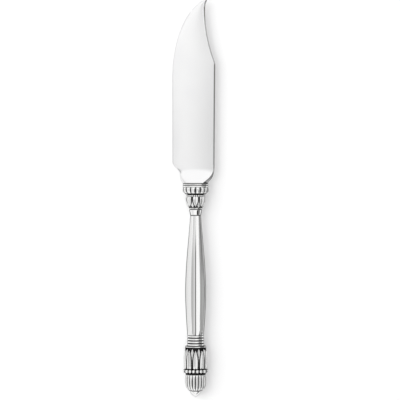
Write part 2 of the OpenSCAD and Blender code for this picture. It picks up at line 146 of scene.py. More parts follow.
bpy.ops.object.select_all(action="DESELECT")
bpy.ops.mesh.primitive_grid_add(x_subdivisions=len(blade_shares) - 1, y_subdivisions=1, size=1,
                                location=(axis_x, blade_foot, axis_z))
blade = bpy.context.object
bpy.ops.object.mode_set(mode="EDIT")
columns = len(blade_shares) - 1
for k, share in reversed(list(enumerate(blade_shares))):
    if share < k / columns:
        continue
    pick(lambda co: abs(co.x + 0.5 - k / columns) < 0.2 / columns)
    bpy.ops.transform.translate(value=(share - k / columns, 0, 0))
for k, share in enumerate(blade_shares):
    if share < k / columns:
        pick(lambda co: abs(co.x + 0.5 - k / columns) < 1e-5)
        bpy.ops.transform.translate(value=(share - k / columns, 0, 0))
bpy.ops.mesh.select_all(action="SELECT")
bpy.ops.transform.resize(value=(1, blade_rows[1], 1), center_override=(axis_x, blade_foot, axis_z))
bpy.ops.transform.translate(value=(0, blade_rows[1] / 2, 0))


def fit_row(y, old_left, old_right):
    """Sets the selected row between the edge and the back."""
    left, right = axis_x - edge_reach(y), axis_x + back_reach(y)
    bpy.ops.transform.translate(value=((left + right - old_left - old_right) / 2, 0, 0))
    bpy.ops.transform.resize(value=((right - left) / (old_right - old_left), 1, 1),
                             center_override=((left + right) / 2, blade_foot + y, axis_z))
    return left, right


for y in blade_rows[:2]:
    pick(lambda co: abs(co.y - y) < 0.1 * mm)
    span = fit_row(y, axis_x - 0.5, axis_x + 0.5)
for low, high in zip(blade_rows[1:], blade_rows[2:]):
    bpy.ops.mesh.extrude_edges_move(TRANSFORM_OT_translate={"value": (0, high - low, 0)})
    span = fit_row(high, *span)
bpy.ops.object.mode_set(mode="OBJECT")


def blade_thickness(co):
    """Half the thickness of the blade at a place, as a share of the bolster's."""
    left, right = -edge_reach(co.y), back_reach(co.y)
    share = within((co.x - left) / (right - left))
    oval = max(0.0, 1 - abs(2 * share - 1) ** bolster_round) ** (1 / bolster_round)
    plate = plate_half - plate_swell * (2 * share - 1) ** 2
    plate -= edge_slope * max(0.0, edge_bevel - (co.x - left))
    near_point = within(1.5 * (1 - (blade_length - co.y) / point_ground))
    plate -= point_slope * near_point * max(0.0, point_bevel - (co.x - left))
    weight = within(1 - co.y / bolster_length) ** 2
    slope = mix(back_slope, shoulder_slope, within(1.6 * weight))
    bevelled = back_half + slope * (right - co.x)
    return min(mix(plate, bolster_half * oval, weight), bevelled) / bolster_half


def pick_open_rims():
    """Selects the rims of the piece in hand that have a face on one side only."""
    bpy.ops.mesh.select_mode(type="EDGE")
    bpy.ops.mesh.select_all(action="DESELECT")
    bpy.ops.mesh.select_non_manifold(extend=False, use_wire=False, use_multi_face=False,
                                     use_non_contiguous=False, use_verts=False)


press(blade, bolster_half, blade_thickness, "Z")
bpy.ops.object.mode_set(mode="EDIT")
pick_open_rims()
bpy.ops.mesh.extrude_edges_move(TRANSFORM_OT_translate={"value": (0, 0, 0)})
bpy.ops.transform.resize(value=(1, 1, 0), center_override=(axis_x, blade_foot, axis_z))
bpy.ops.mesh.select_mode(type="VERT")
bpy.ops.object.mode_set(mode="OBJECT")
mirror = blade.modifiers.new("back", "MIRROR")
mirror.use_axis = (False, False, True)
mirror.merge_threshold = 0.002 * mm
bpy.ops.object.modifier_apply(modifier=mirror.name)

tang_length, tang_wide, tang_end_wide, tang_thick = 52 * mm, 3.2 * mm, 2.6 * mm, 1.8 * mm
tang_root, tang_corner = 0.5 * mm, 0.2 * mm
hole_half, hole_places = 0.7 * mm, (26 * mm, 38 * mm)
tang_middle = blade_foot + (tang_root - tang_length) / 2
bpy.ops.object.select_all(action="DESELECT")
bpy.ops.mesh.primitive_cube_add(size=1, location=(axis_x, tang_middle, axis_z))
tang = bpy.context.object
tang.scale = (tang_wide, tang_length + tang_root, tang_thick)
bpy.ops.object.transform_apply(location=False, rotation=False, scale=True)
bpy.ops.object.mode_set(mode="EDIT")
pick(lambda co: co.y < 0)
bpy.ops.transform.resize(value=(tang_end_wide / tang_wide, 1, 1),
                         center_override=(axis_x, blade_foot, axis_z))
bpy.ops.object.mode_set(mode="OBJECT")
softened = tang.modifiers.new("corners", "BEVEL")
softened.width, softened.segments = tang_corner, 2
bpy.ops.object.modifier_apply(modifier=softened.name)
for down in hole_places:
    bpy.ops.mesh.primitive_cylinder_add(vertices=24, radius=hole_half, depth=2 * tang_thick,
                                        location=(axis_x, blade_foot - down, axis_z))
    drill = bpy.context.object
    bpy.context.view_layer.objects.active = tang
    hole = tang.modifiers.new("hole", "BOOLEAN")
    hole.object = drill
    bpy.ops.object.modifier_apply(modifier=hole.name)
    bpy.data.objects.remove(drill)
bpy.ops.object.select_all(action="DESELECT")
tang.select_set(True)
blade.select_set(True)
bpy.context.view_layer.objects.active = blade
bpy.ops.object.join()
finish(blade, "blade_steel", 25)


# The steel and the silver share their finish: fine marks of the buffing wheel over the whole
# surface, and a dark tarnish that is left on purpose in the places that lie sunk. The same
# dark mix also paints shade on some places that are not sunk: the rims of the mouth plate,
# a line down the shaft, and the sides of the shaft and the foot band.
def new_group(name, inputs, outputs):
    """A node group with its named sockets, and the nodes where they come in and go out."""
    group = bpy.data.node_groups.new(name, "ShaderNodeTree")
    for label, kind, value in inputs:
        socket = group.interface.new_socket(label, in_out="INPUT", socket_type=kind)
        socket.default_value = value
    for label, kind in outputs:
        group.interface.new_socket(label, in_out="OUTPUT", socket_type=kind)
    return group, group.nodes.new("NodeGroupInput"), group.nodes.new("NodeGroupOutput")


def math_node(tree, operation, *values):
    """A sum on values, each a number or another node's output."""
    node = tree.nodes.new("ShaderNodeMath")
    node.operation = operation
    for socket, value in zip(node.inputs, values):
        if isinstance(value, bpy.types.NodeSocket):
            tree.links.new(value, socket)
        else:
            socket.default_value = value
    return node.outputs[0]


def noise_node(tree, vector, scale, detail):
    """Uneven grain, finer as the scale grows."""
    node = tree.nodes.new("ShaderNodeTexNoise")
    node.inputs["Scale"].default_value = scale
    node.inputs["Detail"].default_value = detail
    tree.links.new(vector, node.inputs["Vector"])
    return node.outputs["Fac"]


polish, polish_in, polish_out = new_group(
    "polish_marks",
    [("Stretch", "NodeSocketVector", (1, 1, 1)), ("Roughness", "NodeSocketFloat", 0.15),
     ("Variation", "NodeSocketFloat", 0.05), ("Depth", "NodeSocketFloat", 0.3)],
    [("Roughness", "NodeSocketFloat"), ("Height", "NodeSocketFloat"), ("Smears", "NodeSocketFloat")])
place = polish.nodes.new("ShaderNodeTexCoord").outputs["Object"]
stretched = polish.nodes.new("ShaderNodeVectorMath")
stretched.operation = "MULTIPLY"
polish.links.new(place, stretched.inputs[0])
polish.links.new(polish_in.outputs["Stretch"], stretched.inputs[1])
marks = noise_node(polish, stretched.outputs[0], 900, 3)
smears = noise_node(polish, place, 90, 2)
spread = math_node(polish, "SUBTRACT", math_node(polish, "ADD", marks, smears), 1.0)
uneven = math_node(polish, "MULTIPLY", spread, polish_in.outputs["Variation"])
rubbed = math_node(polish, "ADD", polish_in.outputs["Roughness"], uneven)
scratches = math_node(polish, "MULTIPLY", marks, polish_in.outputs["Depth"])
polish.links.new(rubbed, polish_out.inputs["Roughness"])
polish.links.new(scratches, polish_out.inputs["Height"])
polish.links.new(smears, polish_out.inputs["Smears"])

# The dark colour mixed in here is tarnish in hollows, and on some pieces painted shade.
tarnish_and_shade_group, tarnish_and_shade_in, tarnish_and_shade_out = new_group(
    "tarnish_and_shade_group",
    [("Metal", "NodeSocketColor", (0.95, 0.95, 0.95, 1)),
     ("Tarnish And Shade", "NodeSocketColor", (0.03, 0.03, 0.03, 1)),
     ("Amount", "NodeSocketFloat", 0), ("Roughness", "NodeSocketFloat", 0.15),
     ("Dullness", "NodeSocketFloat", 0.25)],
    [("Color", "NodeSocketColor"), ("Roughness", "NodeSocketFloat")])
place = tarnish_and_shade_group.nodes.new("ShaderNodeTexCoord").outputs["Object"]
blotches = noise_node(tarnish_and_shade_group, place, 1600, 3)
mottled = math_node(tarnish_and_shade_group, "ADD", 0.85, math_node(tarnish_and_shade_group, "MULTIPLY", blotches, 0.3))
patchy = math_node(tarnish_and_shade_group, "MULTIPLY", tarnish_and_shade_in.outputs["Amount"], mottled)
cover = tarnish_and_shade_group.nodes.new("ShaderNodeMapRange")
cover.interpolation_type = "SMOOTHSTEP"
cover.inputs["From Min"].default_value = 0.12
cover.inputs["From Max"].default_value = 0.75
tarnish_and_shade_group.links.new(patchy, cover.inputs["Value"])
shade = tarnish_and_shade_group.nodes.new("ShaderNodeMix")
shade.data_type = "RGBA"
tarnish_and_shade_group.links.new(cover.outputs["Result"], shade.inputs["Factor"])
tarnish_and_shade_group.links.new(tarnish_and_shade_in.outputs["Metal"], shade.inputs["A"])
tarnish_and_shade_group.links.new(tarnish_and_shade_in.outputs["Tarnish And Shade"], shade.inputs["B"])
tarnish_and_shade_group.links.new(shade.outputs["Result"], tarnish_and_shade_out.inputs["Color"])
dulled = math_node(tarnish_and_shade_group, "MULTIPLY", cover.outputs["Result"], tarnish_and_shade_in.outputs["Dullness"])
worn = math_node(tarnish_and_shade_group, "ADD", tarnish_and_shade_in.outputs["Roughness"], dulled)
tarnish_and_shade_group.links.new(worn, tarnish_and_shade_out.inputs["Roughness"])


def metal(name, colour, roughness, variation, depth, stretch, dark, smeared=0.0):
    """A metal with the marks of its polishing, dark where the piece is sunk or smeared, and dark with
    painted shade where a piece's mask paints it.
    """
    material = bpy.data.materials.new(name)
    material.use_nodes = True
    tree = material.node_tree
    shader = tree.nodes["Principled BSDF"]
    shader.inputs["Metallic"].default_value = 1
    shader.inputs["Specular Tint"].default_value = (0.15, 0.15, 0.15, 1)
    marks = tree.nodes.new("ShaderNodeGroup")
    marks.node_tree = polish
    marks.inputs["Stretch"].default_value = stretch
    marks.inputs["Roughness"].default_value = roughness
    marks.inputs["Variation"].default_value = variation
    marks.inputs["Depth"].default_value = depth
    tarnish_and_shade_node = tree.nodes.new("ShaderNodeGroup")
    tarnish_and_shade_node.node_tree = tarnish_and_shade_group
    tarnish_and_shade_node.inputs["Metal"].default_value = (*colour, 1)
    tarnish_and_shade_node.inputs["Tarnish And Shade"].default_value = (*dark, 1)
    tarnish_and_shade_node.inputs["Dullness"].default_value = 0.02 if smeared else 0.25
    sunk = tree.nodes.new("ShaderNodeAttribute")
    sunk.attribute_name = "sunk"
    hazy = math_node(tree, "MULTIPLY", marks.outputs["Smears"], smeared)
    tree.links.new(math_node(tree, "MAXIMUM", sunk.outputs["Fac"], hazy), tarnish_and_shade_node.inputs["Amount"])
    tree.links.new(marks.outputs["Roughness"], tarnish_and_shade_node.inputs["Roughness"])
    tree.links.new(tarnish_and_shade_node.outputs["Color"], shader.inputs["Base Color"])
    tree.links.new(tarnish_and_shade_node.outputs["Roughness"], shader.inputs["Roughness"])
    bump = tree.nodes.new("ShaderNodeBump")
    bump.inputs["Strength"].default_value = 0.1
    bump.inputs["Distance"].default_value = 0.02 * mm
    tree.links.new(marks.outputs["Height"], bump.inputs["Height"])
    tree.links.new(bump.outputs["Normal"], shader.inputs["Normal"])
    return material


def stain_sunk(piece, share):
    """Notes on each point how dark it is, from 0 bright to 1 dark: tarnish in a hollow, and on some pieces
    painted shade.
    """
    sunk = piece.data.attributes.new("sunk", "FLOAT", "POINT")
    sunk.data.foreach_set("value", [share(vert.co) for vert in piece.data.vertices])


def fit_out(piece, material, slot, *nodes):
    """Gives a piece its metal, and its place among the solids."""
    piece.data.materials.append(material)
    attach(piece, "root")
    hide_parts(*nodes)


bright_steel, hazy_steel = (0.97, 0.97, 0.97), (0.955, 0.955, 0.96)
steel = metal("polished_steel", bright_steel, 0.1, 0.03, 0.25, (1, 0.05, 1), hazy_steel, 0.8)
fit_out(blade, steel, "steel", "blade")


# The mouth plate is a flat oval of silver with a slot for the tang. It is soldered on top
# of the collar, and the bolster seats on it. Its rims are worn round, with painted shade.
def ring_loft(points, rings, caps):
    """Draws oval rings down the axis, each a place with its half width and half thickness."""
    start, wide, thick = rings[0]
    bpy.ops.object.select_all(action="DESELECT")
    bpy.ops.mesh.primitive_circle_add(vertices=points, radius=1, location=(axis_x, start, axis_z),
                                      rotation=(math.pi / 2, 0, 0))
    piece = bpy.context.object
    bpy.ops.object.transform_apply(location=False, rotation=True, scale=False)
    bpy.ops.object.mode_set(mode="EDIT")
    bpy.ops.mesh.select_all(action="SELECT")
    bpy.ops.transform.resize(value=(wide, 1, thick), center_override=(axis_x, start, axis_z))
    for old, new in zip(rings, rings[1:]):
        bpy.ops.mesh.extrude_edges_move(TRANSFORM_OT_translate={"value": (0, new[0] - old[0], 0)})
        bpy.ops.transform.resize(value=(new[1] / old[1], 1, new[2] / old[2]),
                                 center_override=(axis_x, new[0], axis_z))
    for y in caps:
        pick(lambda co: abs(co.y + start - y) < 0.0001 * mm)
        bpy.ops.mesh.edge_face_add()
    bpy.ops.mesh.select_all(action="SELECT")
    bpy.ops.mesh.remove_doubles(threshold=0.001 * mm)
    bpy.ops.mesh.normals_make_consistent(inside=False)
    bpy.ops.object.mode_set(mode="OBJECT")
    return piece


# The grey tarnish also paints shade on the mouth plate's rims and the shaft's sides.
bright_silver, grey_tarnish_and_shade = (0.96, 0.96, 0.955), (0.05, 0.05, 0.05)
silver = metal("polished_silver", bright_silver, 0.1, 0.03, 0.2, (1, 0.1, 1), grey_tarnish_and_shade)
mouth_wide, mouth_thick, mouth_height = 6.6 * mm, 3.9 * mm, 1.4 * mm
slot_wide, slot_thick = 1.65 * mm, 0.95 * mm
rim = 0.35 * mm
mouth_rings = []
rim_steps = 8
for i in range(rim_steps + 1):
    turn = math.pi * i / rim_steps
    inset = rim * (1 - math.sin(turn)) ** 1.2
    down = mouth_height / 2 * (1 - math.cos(turn))
    mouth_rings.append((blade_foot - down, mouth_wide - inset, mouth_thick - inset))
foot_of_plate = blade_foot - mouth_height
mouth_rings += [(foot_of_plate, slot_wide, slot_thick), (blade_foot, slot_wide, slot_thick), mouth_rings[0]]
mouth_plate = ring_loft(96, mouth_rings, [])
# Painted shade: the plate darkens towards both rims.
stain_sunk(mouth_plate, lambda co: within(1.35 * abs(2 * co.y / mouth_height + 1)))
finish(mouth_plate, "mouth_plate_silver", 50)
fit_out(mouth_plate, silver, "silver", "mouth_plate")


# The collar is one silver casting, hollow for the tang. Its swelling is gadrooned, and its
# cup has eight pointed leaves. The chaser left the hollows dark and polished the rest.
collar_top = foot_of_plate
collar_length = 12 * mm
collar_wide = 7 * mm
bore_wide, bore_thick = 2.1 * mm, 1.7 * mm
gadroon_shares = [(0, 0.92), (0.035, 0.95), (0.06, 0.93), (0.075, 0.97), (0.12, 1), (0.17, 1.01),
                  (0.22, 1), (0.27, 0.97), (0.31, 0.91), (0.345, 0.8), (0.365, 0.72)]
cup_shares = [(0.5, 0.66), (0.52, 0.68), (0.57, 0.68), (0.62, 0.67), (0.68, 0.655), (0.74, 0.635),
              (0.8, 0.61), (0.86, 0.58), (0.91, 0.55), (0.935, 0.51), (0.95, 0.49), (0.965, 0.5),
              (0.985, 0.5), (1, 0.48)]
waist_place, waist_share = 0.4325, 0.715
waist_bead = 1.3 * mm
groove_in, groove_along = 0.8 * waist_bead, 0.55 * waist_bead
swelling_flatness, foot_flatness = 8.6 / 14, 5.6 / 6.6
collar_gadroons, collar_leaves = 16, 8
gadroon_depth, leaf_relief = 0.6 * mm, 0.5 * mm
leaf_reach, leaf_half_share = 0.9, 0.82
black_tarnish = (0.02, 0.02, 0.02)
cast_silver = metal("cast_silver", (0.95, 0.95, 0.945), 0.13, 0.04, 0.3, (1, 1, 1), black_tarnish)


def profile_at(table, v, column=1):
    """A table's value at a place, along straight lines from one row to the next."""
    for low, high in zip(table, table[1:]):
        if v <= high[0]:
            return mix(low[column], high[column], within((v - low[0]) / (high[0] - low[0])))
    return table[-1][column]


def smooth_at(table, v, column=1):
    """A table's value, rounded over by the values a little before and after."""
    reach = 0.02
    ends = table[0][0], table[-1][0]
    near = [max(ends[0], min(ends[1], v + reach * k / 2)) for k in (-2, -1, 0, 1, 2)]
    return sum(profile_at(table, place, column) for place in near) / len(near)


def collar_flatness(v):
    """The collar's thickness over its width, flat at its swelling and rounder at its foot."""
    return mix(swelling_flatness, foot_flatness, within((v - 0.25) / 0.75))


def hollow(angle, lobes):
    """How deep in the groove between two lobes an angle lies, from 0 to 1."""
    return 1 - abs(math.sin((angle - math.pi / 2) * lobes / 2))


def leaf_half(h, reach):
    """Half the width of a leaf that far up, as a share of its place."""
    return leaf_half_share * max(0.0, 1 - (max(0.0, h) / reach) ** 3.4) ** 0.9


def leaf_height(u, h, reach):
    """Height of a leaf, u from -1 to 1 across its place and h from its foot to its tip."""
    half = leaf_half(h, reach)
    if half <= 0 or abs(u) >= half:
        return 0.0
    edge = ease(within((half - abs(u)) / 0.2))
    vein = 0.45 * math.exp(-(u / 0.1) ** 2)
    return edge * (1 - 0.3 * (u / half) ** 2 - vein)


def leaves_at(angle, h, count):
    """Height of a ring of leaves, with the tips of a second ring between them."""
    def across(turn):
        place = (angle - math.pi / 2) * count / (2 * math.pi) + turn + 0.5
        return 2 * (place - math.floor(place)) - 1
    front = leaf_height(across(0), h, leaf_reach)
    gap = within((abs(across(0)) - leaf_half(h, leaf_reach) - 0.08) / 0.12)
    return max(front, 0.6 * gap * leaf_height(across(0.5), h, 1))


collar_rings = []
swelling_steps, cup_steps = 30, 80
for i in range(swelling_steps + 1):
    v = gadroon_shares[-1][0] * i / swelling_steps
    share = smooth_at(gadroon_shares, v)
    collar_rings.append((collar_top - v * collar_length, collar_wide * share,
                         collar_wide * share * collar_flatness(v)))
groove_wide = collar_wide * waist_share - groove_in
groove_thick = collar_wide * waist_share * collar_flatness(waist_place) - groove_in
for side in (1, -1):
    groove_side = collar_top - waist_place * collar_length + side * groove_along
    collar_rings.append((groove_side, groove_wide, groove_thick))
for i in range(cup_steps + 1):
    v = mix(cup_shares[0][0], 1, i / cup_steps)
    share = smooth_at(cup_shares, v)
    collar_rings.append((collar_top - v * collar_length, collar_wide * share,
                         collar_wide * share * collar_flatness(v)))
collar_foot = collar_top - collar_length
collar_rings += [(collar_foot, bore_wide, bore_thick), (collar_top, bore_wide, bore_thick), collar_rings[0]]


def collar_place(co):
    """How far down the collar a point lies, as a share, and its angle round the oval."""
    v = -co.y / collar_length
    return v, math.atan2(co.z / collar_flatness(v), co.x)


def on_outside(co, wide):
    return math.hypot(co.x, co.z) > wide


outside_bore = bore_wide + 0.3 * mm


def gadroon_cut(co):
    """How deep the grooves between the collar's gadroons are at a place."""
    v, angle = collar_place(co)
    if not on_outside(co, outside_bore):
        return 0.0
    return hollow(angle, collar_gadroons) * math.sin(math.pi * within((v - 0.06) / 0.3)) ** 0.7


def cup_leaf(co):
    """How high the leaves of the collar's cup stand at a place."""
    v, angle = collar_place(co)
    if v < 0.49 or not on_outside(co, outside_bore):
        return 0.0
    return leaves_at(angle, (v - 0.5) / 0.46, collar_leaves)


def collar_sunk(co):
    """Dark between the gadroons, in the waist's groove and round the leaves."""
    v, angle = collar_place(co)
    if v < 0.4:
        ends = math.sin(math.pi * within((v - 0.05) / 0.32)) ** 0.3
        lobe = hollow(angle, collar_gadroons) ** 1.5 * ends
        return max(lobe, within((v - 0.31) / 0.05), math.exp(-((v - 0.06) / 0.01) ** 2))
    if v < 0.5:
        return 1.0
    if v > 0.958:
        return within((v - 0.985) / 0.015)
    return within(1.15 - 2.3 * cup_leaf(co))


collar = ring_loft(384, collar_rings, [])
stain_sunk(collar, collar_sunk)
press(collar, -gadroon_depth, gadroon_cut)
press(collar, leaf_relief, cup_leaf)
finish(collar, "collar_cast", 60)
fit_out(collar, cast_silver, "cast_silver", "collar")


# A beaded wire lies in the groove at the collar's waist: a flat band with a row of balls
# rolled out of it. One ball is made and copied round the oval, evenly along its length.
def bead_angles(wide, thick, size):
    """The angles at which beads of a size stand evenly along an oval."""
    lengths = [0.0]
    for k in range(720):
        turn = math.radians(k / 2 + 0.25)
        step = math.radians(0.5) * math.hypot(wide * math.sin(turn), thick * math.cos(turn))
        lengths.append(lengths[-1] + step)
    count = 4 * round(lengths[-1] / (4 * size * 0.94))
    angles = []
    for k in range(count):
        target = (k + 0.5) * lengths[-1] / count
        angles.append(math.radians(next(i for i, length in enumerate(lengths) if length >= target) / 2))
    return angles


def bead_sunk(co, outward, size):
    """How dark a bead is at a place: bright on its crown, dark at its foot and sides."""
    length = math.hypot(*outward) * size / 2
    out = (co.x * outward[0] + co.z * outward[1]) / length
    aside = (co.x * outward[1] - co.z * outward[0]) / length
    return within(max(0.75 - 0.9 * out, 1.3 * abs(aside) ** 4, 1.3 * abs(2 * co.y / size) ** 6))


def beaded_wire(y, wide, thick, size):
    """A beaded wire round the axis, as wide and thick as the crowns of its beads."""
    middle_wide, middle_thick = wide - size / 2, thick - size / 2
    band = [(y + size * 0.4, middle_wide - 0.15 * size, middle_thick - 0.15 * size)]
    band += [(y + size * 0.3, middle_wide, middle_thick), (y - size * 0.3, middle_wide, middle_thick)]
    band += [(y - size * 0.4, middle_wide - 0.15 * size, middle_thick - 0.15 * size)]
    inside = middle_wide - 0.25 * size, middle_thick - 0.25 * size
    band += [(y - size * 0.4, *inside), (y + size * 0.4, *inside), band[0]]
    wire = ring_loft(96, band, [])
    stain_sunk(wire, lambda co: 1.0)
    bpy.ops.object.transform_apply(location=True, rotation=False, scale=False)
    bpy.ops.object.select_all(action="DESELECT")
    bpy.ops.mesh.primitive_uv_sphere_add(segments=24, ring_count=16, radius=size / 2,
                                         location=(0, 0, 0), rotation=(math.pi / 2, 0, 0))
    ball = bpy.context.object
    bpy.ops.object.transform_apply(location=True, rotation=True, scale=True)
    bpy.ops.object.mode_set(mode="EDIT")
    pick(lambda co: abs(co.y) > size * 0.45)
    bpy.ops.transform.resize(value=(1, 0.96, 1), center_override=(0, 0, 0))
    bpy.ops.object.mode_set(mode="OBJECT")
    copies = [wire]
    for angle in bead_angles(middle_wide, middle_thick, size):
        copy = ball.copy()
        copy.data = ball.data.copy()
        bpy.context.collection.objects.link(copy)
        copy.location = (axis_x + middle_wide * math.cos(angle), y, axis_z + middle_thick * math.sin(angle))
        outward = math.cos(angle) / middle_wide, math.sin(angle) / middle_thick
        stain_sunk(copy, lambda co: bead_sunk(co, outward, size))
        copies.append(copy)
    bpy.data.objects.remove(ball)
    bpy.ops.object.select_all(action="DESELECT")
    for copy in copies:
        copy.select_set(True)
    bpy.context.view_layer.objects.active = wire
    bpy.ops.object.join()
    return wire


collar_beads = beaded_wire(collar_top - waist_place * collar_length, collar_wide * waist_share,
                           collar_wide * waist_share * collar_flatness(waist_place), waist_bead)
finish(collar_beads, "collar_beads_cast", 60)
fit_out(collar_beads, cast_silver, "cast_silver", "collar_beads")


# The foot band is a short turned ring of silver, soldered between the collar and the
# shaft. It is plain, and burnished brighter than the other silver.
band_height, band_wide, band_thick = 3.6 * mm, 3.3 * mm, 2.8 * mm
band_shares = [(0, 0.87), (0.04, 0.9), (0.08, 0.96), (0.12, 0.99), (0.16, 1), (0.84, 0.87),
               (0.88, 0.86), (0.92, 0.83), (0.96, 0.8), (1, 0.79)]
band_rings, band_steps = [], 32
for i in range(band_steps + 1):
    v = i / band_steps
    share = profile_at(band_shares, v)
    band_rings.append((collar_foot - band_height * v, band_wide * share, band_thick * share))
band_foot = collar_foot - band_height
band_rings += [(band_foot, bore_wide, bore_thick), (collar_foot, bore_wide, bore_thick), band_rings[0]]
burnished = metal("burnished_silver", bright_silver, 0.05, 0.02, 0.2, (1, 1, 1), (0.03, 0.03, 0.03))


def band_sunk(co):
    """Dark at both ends of the band, and greyer at its sides, where the grey is painted shade."""
    ends = within(1.6 * abs(2 * co.y / band_height + 1) ** 5)
    return max(ends, 0.55 * within((0.55 - abs(co.z) / band_thick) / 0.1))


foot_band = ring_loft(96, band_rings, [])
# Painted shade: the band's sides are greyed.
stain_sunk(foot_band, band_sunk)
finish(foot_band, "foot_band_silver", 50)
fit_out(foot_band, burnished, "silver", "foot_band")


# The shaft is two half shells of pressed silver sheet, soldered together along the sides.
# Four hollow flutes run down each face and end round above the rings. One shell is drawn
# and fluted, and the other is its copy, turned over.
shaft_length = 61.8 * mm
widest_place = 0.62
shaft_sizes = (5.6 * mm, 10.8 * mm, 8.6 * mm), (4.8 * mm, 7.6 * mm, 7 * mm)
flute_ribs = math.radians(26), math.radians(62)
flute_depth, flute_end, rib_flat = 0.38 * mm, 2.6 * mm, 0.1
line_half, line_fade = 0.3 * mm, 20 * mm
wall, solder = 0.7 * mm, 0.2 * mm


def shaft_half(sizes, v):
    """Half the shaft's width or thickness, that share of the way down it."""
    top, most, end = sizes
    if v < widest_place:
        up = v / widest_place
        return mix(top, most, up + 0.24 * up * math.sin(math.pi * up)) / 2
    return mix(most, end, ((v - widest_place) / (1 - widest_place)) ** 1.8) / 2


def flute_cut(co):
    """How deep the flutes are at a place: a narrow one beside the middle rib, then a broad one."""
    v = within(-co.y / shaft_length)
    wide, thick = shaft_half(shaft_sizes[0], v), shaft_half(shaft_sizes[1], v)
    turn = abs(math.atan2(co.x / wide, co.z / thick))
    narrow, broad = flute_ribs[0], flute_ribs[1] - flute_ribs[0]
    if turn < narrow:
        across, full = turn / narrow, (narrow / broad) ** 2.6
    elif turn < flute_ribs[1]:
        across, full = (turn - narrow) / broad, 1
    else:
        return 0.0
    rise = (1 - min(1, (1 - v) * shaft_length / flute_end)) ** 2
    if turn < narrow:
        across = within((across - rib_flat) / (1 - rib_flat))
    return full * 2 * wide / shaft_sizes[0][1] * max(0.0, 1 - (2 * across - 1) ** 2 - rise)


def shaft_sunk(co):
    """Painted shade: a fine dark line down the middle of each face, fading out towards the top, and dark
    over the sides, darkest along the seams.
    """
    height = co.z / shaft_half(shaft_sizes[1], within(-co.y / shaft_length))
    middle = 0.85 * within(1.2 - abs(co.x) / line_half) * within(-co.y / line_fade)
    return max(middle, 0.47 * within((0.5 - height) / 0.1) + 0.12 * within(1 - height / 0.36))


shaft_rings = []
long_share, long_steps, end_steps = 0.94, 60, 24
shaft_places = [long_share * i / long_steps for i in range(long_steps + 1)]
shaft_places += [mix(long_share, 1, i / end_steps) for i in range(1, end_steps + 1)]
for v in shaft_places:
    wide, thick = shaft_half(shaft_sizes[0], v), shaft_half(shaft_sizes[1], v)
    shaft_rings.append((band_foot - v * shaft_length, wide, thick))
shell = ring_loft(180, shaft_rings, [])
press(shell, -flute_depth, flute_cut)
bpy.ops.object.mode_set(mode="EDIT")
bpy.ops.mesh.select_all(action="SELECT")
bpy.ops.mesh.bisect(plane_co=(axis_x, 0, axis_z + solder / 2), plane_no=(0, 0, 1),
                    clear_inner=True)
bpy.ops.object.mode_set(mode="OBJECT")
# Painted shade: a dark line down each face, and dark sides and seams.
stain_sunk(shell, shaft_sunk)
thicken = shell.modifiers.new("wall", "SOLIDIFY")
thicken.thickness, thicken.offset = wall, -1
bpy.ops.object.modifier_apply(modifier=thicken.name)
other = shell.copy()
other.data = shell.data.copy()
bpy.context.collection.objects.link(other)
other.select_set(False)
finish(shell, "shaft_front_silver", 30)
fit_out(shell, silver, "silver", "handle_front")
bpy.ops.object.select_all(action="DESELECT")
other.select_set(True)
bpy.context.view_layer.objects.active = other
other.scale = (1, 1, -1)
bpy.ops.object.transform_apply(location=False, rotation=False, scale=True)
finish(other, "shaft_back_silver", 30)
fit_out(other, silver, "silver", "handle_back")


# Silver solder fills the two seams between the half shells, and cutler's cement fills the
# shaft round the tang. Both stay as the solids have them, with their own finish.
grey_solder, dark_solder = (0.6, 0.6, 0.58), (0.42, 0.42, 0.41)
solder_metal = metal("silver_solder", grey_solder, 0.3, 0.08, 0.4, (1, 1, 1), dark_solder, 1.0)
for side in ("seam_left", "seam_right"):
    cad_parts[side].material_slots[0].material = solder_metal

cement = bpy.data.materials.new("cutlers_cement")
cement.use_nodes = True
tree = cement.node_tree
shader = tree.nodes["Principled BSDF"]
place = tree.nodes.new("ShaderNodeTexCoord").outputs["Object"]
grain = noise_node(tree, place, 1500, 5)
browns = tree.nodes.new("ShaderNodeValToRGB")
browns.color_ramp.elements[0].color = (0.16, 0.09, 0.05, 1)
browns.color_ramp.elements[1].color = (0.36, 0.25, 0.16, 1)
tree.links.new(grain, browns.inputs["Fac"])
tree.links.new(browns.outputs["Color"], shader.inputs["Base Color"])
dry = math_node(tree, "ADD", 0.7, math_node(tree, "MULTIPLY", grain, 0.3))
tree.links.new(dry, shader.inputs["Roughness"])
rough = tree.nodes.new("ShaderNodeBump")
rough.inputs["Distance"].default_value = 0.1 * mm
tree.links.new(grain, rough.inputs["Height"])
tree.links.new(rough.outputs["Normal"], shader.inputs["Normal"])
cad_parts["cement_fill"].material_slots[0].material = cement


# The neck rings are one reeded sleeve of silver, four rounds turned side by side, pushed
# on the finial's spigot and soldered under the shaft.
sleeve_height = 5.7 * mm
sleeve_top, sleeve_end = (4.3 * mm, 3.5 * mm), (4.5 * mm, 3.7 * mm)
sleeve_bore = 3.6 * mm, 2.8 * mm
rounds, round_steps, ring_cut = 4, 12, 0.55 * mm
shaft_foot = band_foot - shaft_length
sleeve_rings = []
for i in range(rounds * round_steps + 1):
    across = 2 * (i % round_steps) / round_steps - 1
    cut = ring_cut * (1 - math.sqrt(max(0.0, 1 - across ** 2)) ** 0.8)
    v = i / (rounds * round_steps)
    sleeve_rings.append((shaft_foot - sleeve_height * v, mix(sleeve_top[0], sleeve_end[0], v) - cut,
                         mix(sleeve_top[1], sleeve_end[1], v) - cut))
sleeve_foot = shaft_foot - sleeve_height
sleeve_rings += [(sleeve_foot, *sleeve_bore), (shaft_foot, *sleeve_bore), sleeve_rings[0]]


def rings_sunk(co):
    """Dark in the grooves between the rounds."""
    across = 2 * ((-co.y / sleeve_height * rounds) % 1) - 1
    return within(1.5 * abs(across) ** 1.9)


neck_rings = ring_loft(96, sleeve_rings, [])
stain_sunk(neck_rings, rings_sunk)
finish(neck_rings, "neck_rings_silver", 60)
fit_out(neck_rings, silver, "silver", "neck_rings")


